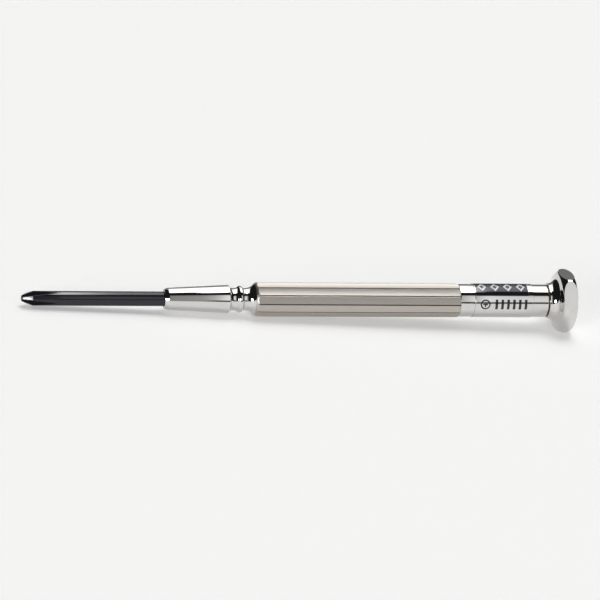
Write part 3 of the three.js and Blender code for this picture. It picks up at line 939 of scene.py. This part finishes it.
def dimple(face, depth, side):
    """A round hollow for the ball, from the face's edge of the hollow down to the axis."""
    half = math.degrees(math.acos((dimple_r - depth) / dimple_r))
    centre = face + side * (depth - dimple_r)
    start = half if side > 0 else 180 - half
    end = 0 if side > 0 else 180
    points = arc(centre, 0, dimple_r, start, end, 8)
    return points[:-1] + [(points[-1][0], 0)]


ball_seat = turned("ball_seat", rounded([
    (seat_front, 0), (seat_front, BEARING_R, 0.1), (seat_rear, BEARING_R, 0.1), (seat_rear, 1.2),
]) + dimple(seat_rear, 0.4, -1), 96)
finished(ball_seat, "handle", "ball_seat", bearing_steel)

ball_outline = arc(ball_x, 0, BALL_R, 180, 0, 32)
ball_outline = [(ball_x - BALL_R, 0)] + ball_outline[1:-1] + [(ball_x + BALL_R, 0)]
thrust_ball = turned("thrust_ball", ball_outline, 64)
finished(thrust_ball, "thrust_ball", "thrust_ball", bearing_steel)

pivot_bush = washer("pivot_bush", front("pivot_bush"), rear("pivot_bush"),
                    SPINDLE_R + 0.05, BEARING_R, 0.15, 96)
finished(pivot_bush, "handle", "pivot_bush", bush_bronze)

# %% Spindle and snap ring
clip_front = front("retaining_clip")
clip_rear = rear("retaining_clip")
spindle_front = front("head_spindle")
spindle_rear = rear("head_spindle")
groove_r = SPINDLE_R - 0.25
head_spindle = turned("head_spindle", list(reversed(dimple(spindle_front, 0.3, 1))) + rounded([
    (spindle_front, 0.9), (spindle_front, SPINDLE_R, 0.08), (clip_front - 0.05, SPINDLE_R, 0.02),
    (clip_front - 0.05, groove_r), (clip_rear + 0.05, groove_r), (clip_rear + 0.05, SPINDLE_R, 0.02),
    (spindle_rear, SPINDLE_R, 0.1), (spindle_rear, 0),
]), 96)
finished(head_spindle, "head", "head_spindle", bearing_steel)

CLIP_OPENING = math.radians(100)
clip_inner = groove_r + GAP
clip_outer = clip_inner + 1.1
clip_angles = [CLIP_OPENING / 2 + (2 * math.pi - CLIP_OPENING) * n / 72 for n in range(73)]
clip_section = [(clip_outer * math.cos(a), clip_outer * math.sin(a)) for a in clip_angles]
clip_section += [(clip_inner * math.cos(a), clip_inner * math.sin(a)) for a in reversed(clip_angles)]
retaining_clip = extruded("retaining_clip", clip_section, clip_rear - clip_front)
retaining_clip.data.transform(Matrix.Translation((clip_front, 0, 0)))
finished(retaining_clip, "head", "retaining_clip", burnished_steel)

# %% [markdown]
# ## The finger head
# The head is a disc with a fully round rim, joined to a short collar by a deep concave round, and it is
# the brightest piece of the tool. Six flats are milled across the rim. They are shallower than the rim
# is round, so each one is an oval island and the tool still cannot roll off the bench. Their edges meet
# the rim at a low angle, so they are marked sharp from 15 degrees, or the shading would bulge.

# %% Swivel head
COLLAR_R = HANDLE_R + 0.24
FLARE_ROUND = 1.85
DISH_R = 3.7
DISH_DEPTH = 0.45

collar_front = front("swivel_head")
head_end = rear("swivel_head")
rim_x = head_end - RIM_ROUND
rim_ring = HEAD_R - RIM_ROUND
flats_apart = (head_high.z - head_low.z) / MM
dish_round = (DISH_R ** 2 + DISH_DEPTH ** 2) / (2 * DISH_DEPTH)
dish_half = math.degrees(math.asin(DISH_R / dish_round))
head_bore = SPINDLE_R + GAP

head_outline = rounded([
    (collar_front + 1, head_bore), (collar_front, head_bore, 0.05), (collar_front, COLLAR_R, 0.08),
    (collar_front + 0.12, COLLAR_R),
])
flare_x = rim_x - RIM_ROUND - FLARE_ROUND
head_outline += arc(flare_x, COLLAR_R + FLARE_ROUND, FLARE_ROUND, 270, 340, 18)
head_outline += arc(rim_x, rim_ring, RIM_ROUND, 160, 0, 40)
head_outline += rounded([
    (head_end, rim_ring), (head_end, DISH_R, 0.25), (head_end - 0.12, DISH_R - 0.4),
])
head_outline += arc(head_end + dish_round - DISH_DEPTH, 0, dish_round, 180 - dish_half * 0.8, 180, 12)[:-1]
head_outline += [(head_end - DISH_DEPTH, 0), (spindle_rear + GAP, 0), (spindle_rear + GAP, head_bore)]
head_outline += [(collar_front + 1, head_bore)]
swivel_head = turned("swivel_head", head_outline, 256)


def flat_cutter(number):
    """A block whose lower face is one flat of the head."""
    side = 2 * HEAD_R
    block = extruded(f"flat_{number}", [(-side, 0), (side, 0), (side, 2), (-side, 2)], 4 * RIM_ROUND)
    block.data.transform(
        Matrix.Rotation(2 * math.pi * number / 6, 4, "X")
        @ Matrix.Translation((rim_x - 2 * RIM_ROUND, 0, flats_apart / 2))
    )
    return block


cut(swivel_head, *[flat_cutter(number) for number in range(6)])
smooth(swivel_head, sharp=15)
finished(swivel_head, "head", "swivel_head", polished_nickel)

# %% [markdown]
# ## The bench
# A sheet of white acrylic with a little light coming through it, as small polished things are often
# shown on. The glow keeps the shadow under the tool soft and fills the lower half of every
# reflection.

# %% Bench finish
bench, shader = finish("bench", (0.8, 0.8, 0.795), 0.0, 0.7)
shader.inputs["Emission Color"].default_value = (1.0, 1.0, 0.99, 1)
shader.inputs["Emission Strength"].default_value = 0.3
tone = bench.node_tree.nodes.new("ShaderNodeTexNoise")
tone.inputs["Scale"].default_value = 6
tint(bench, shader, tone.outputs[0], (0.79, 0.79, 0.785), (0.81, 0.81, 0.805))
floor.data.materials.append(bench)
print("bench ready")
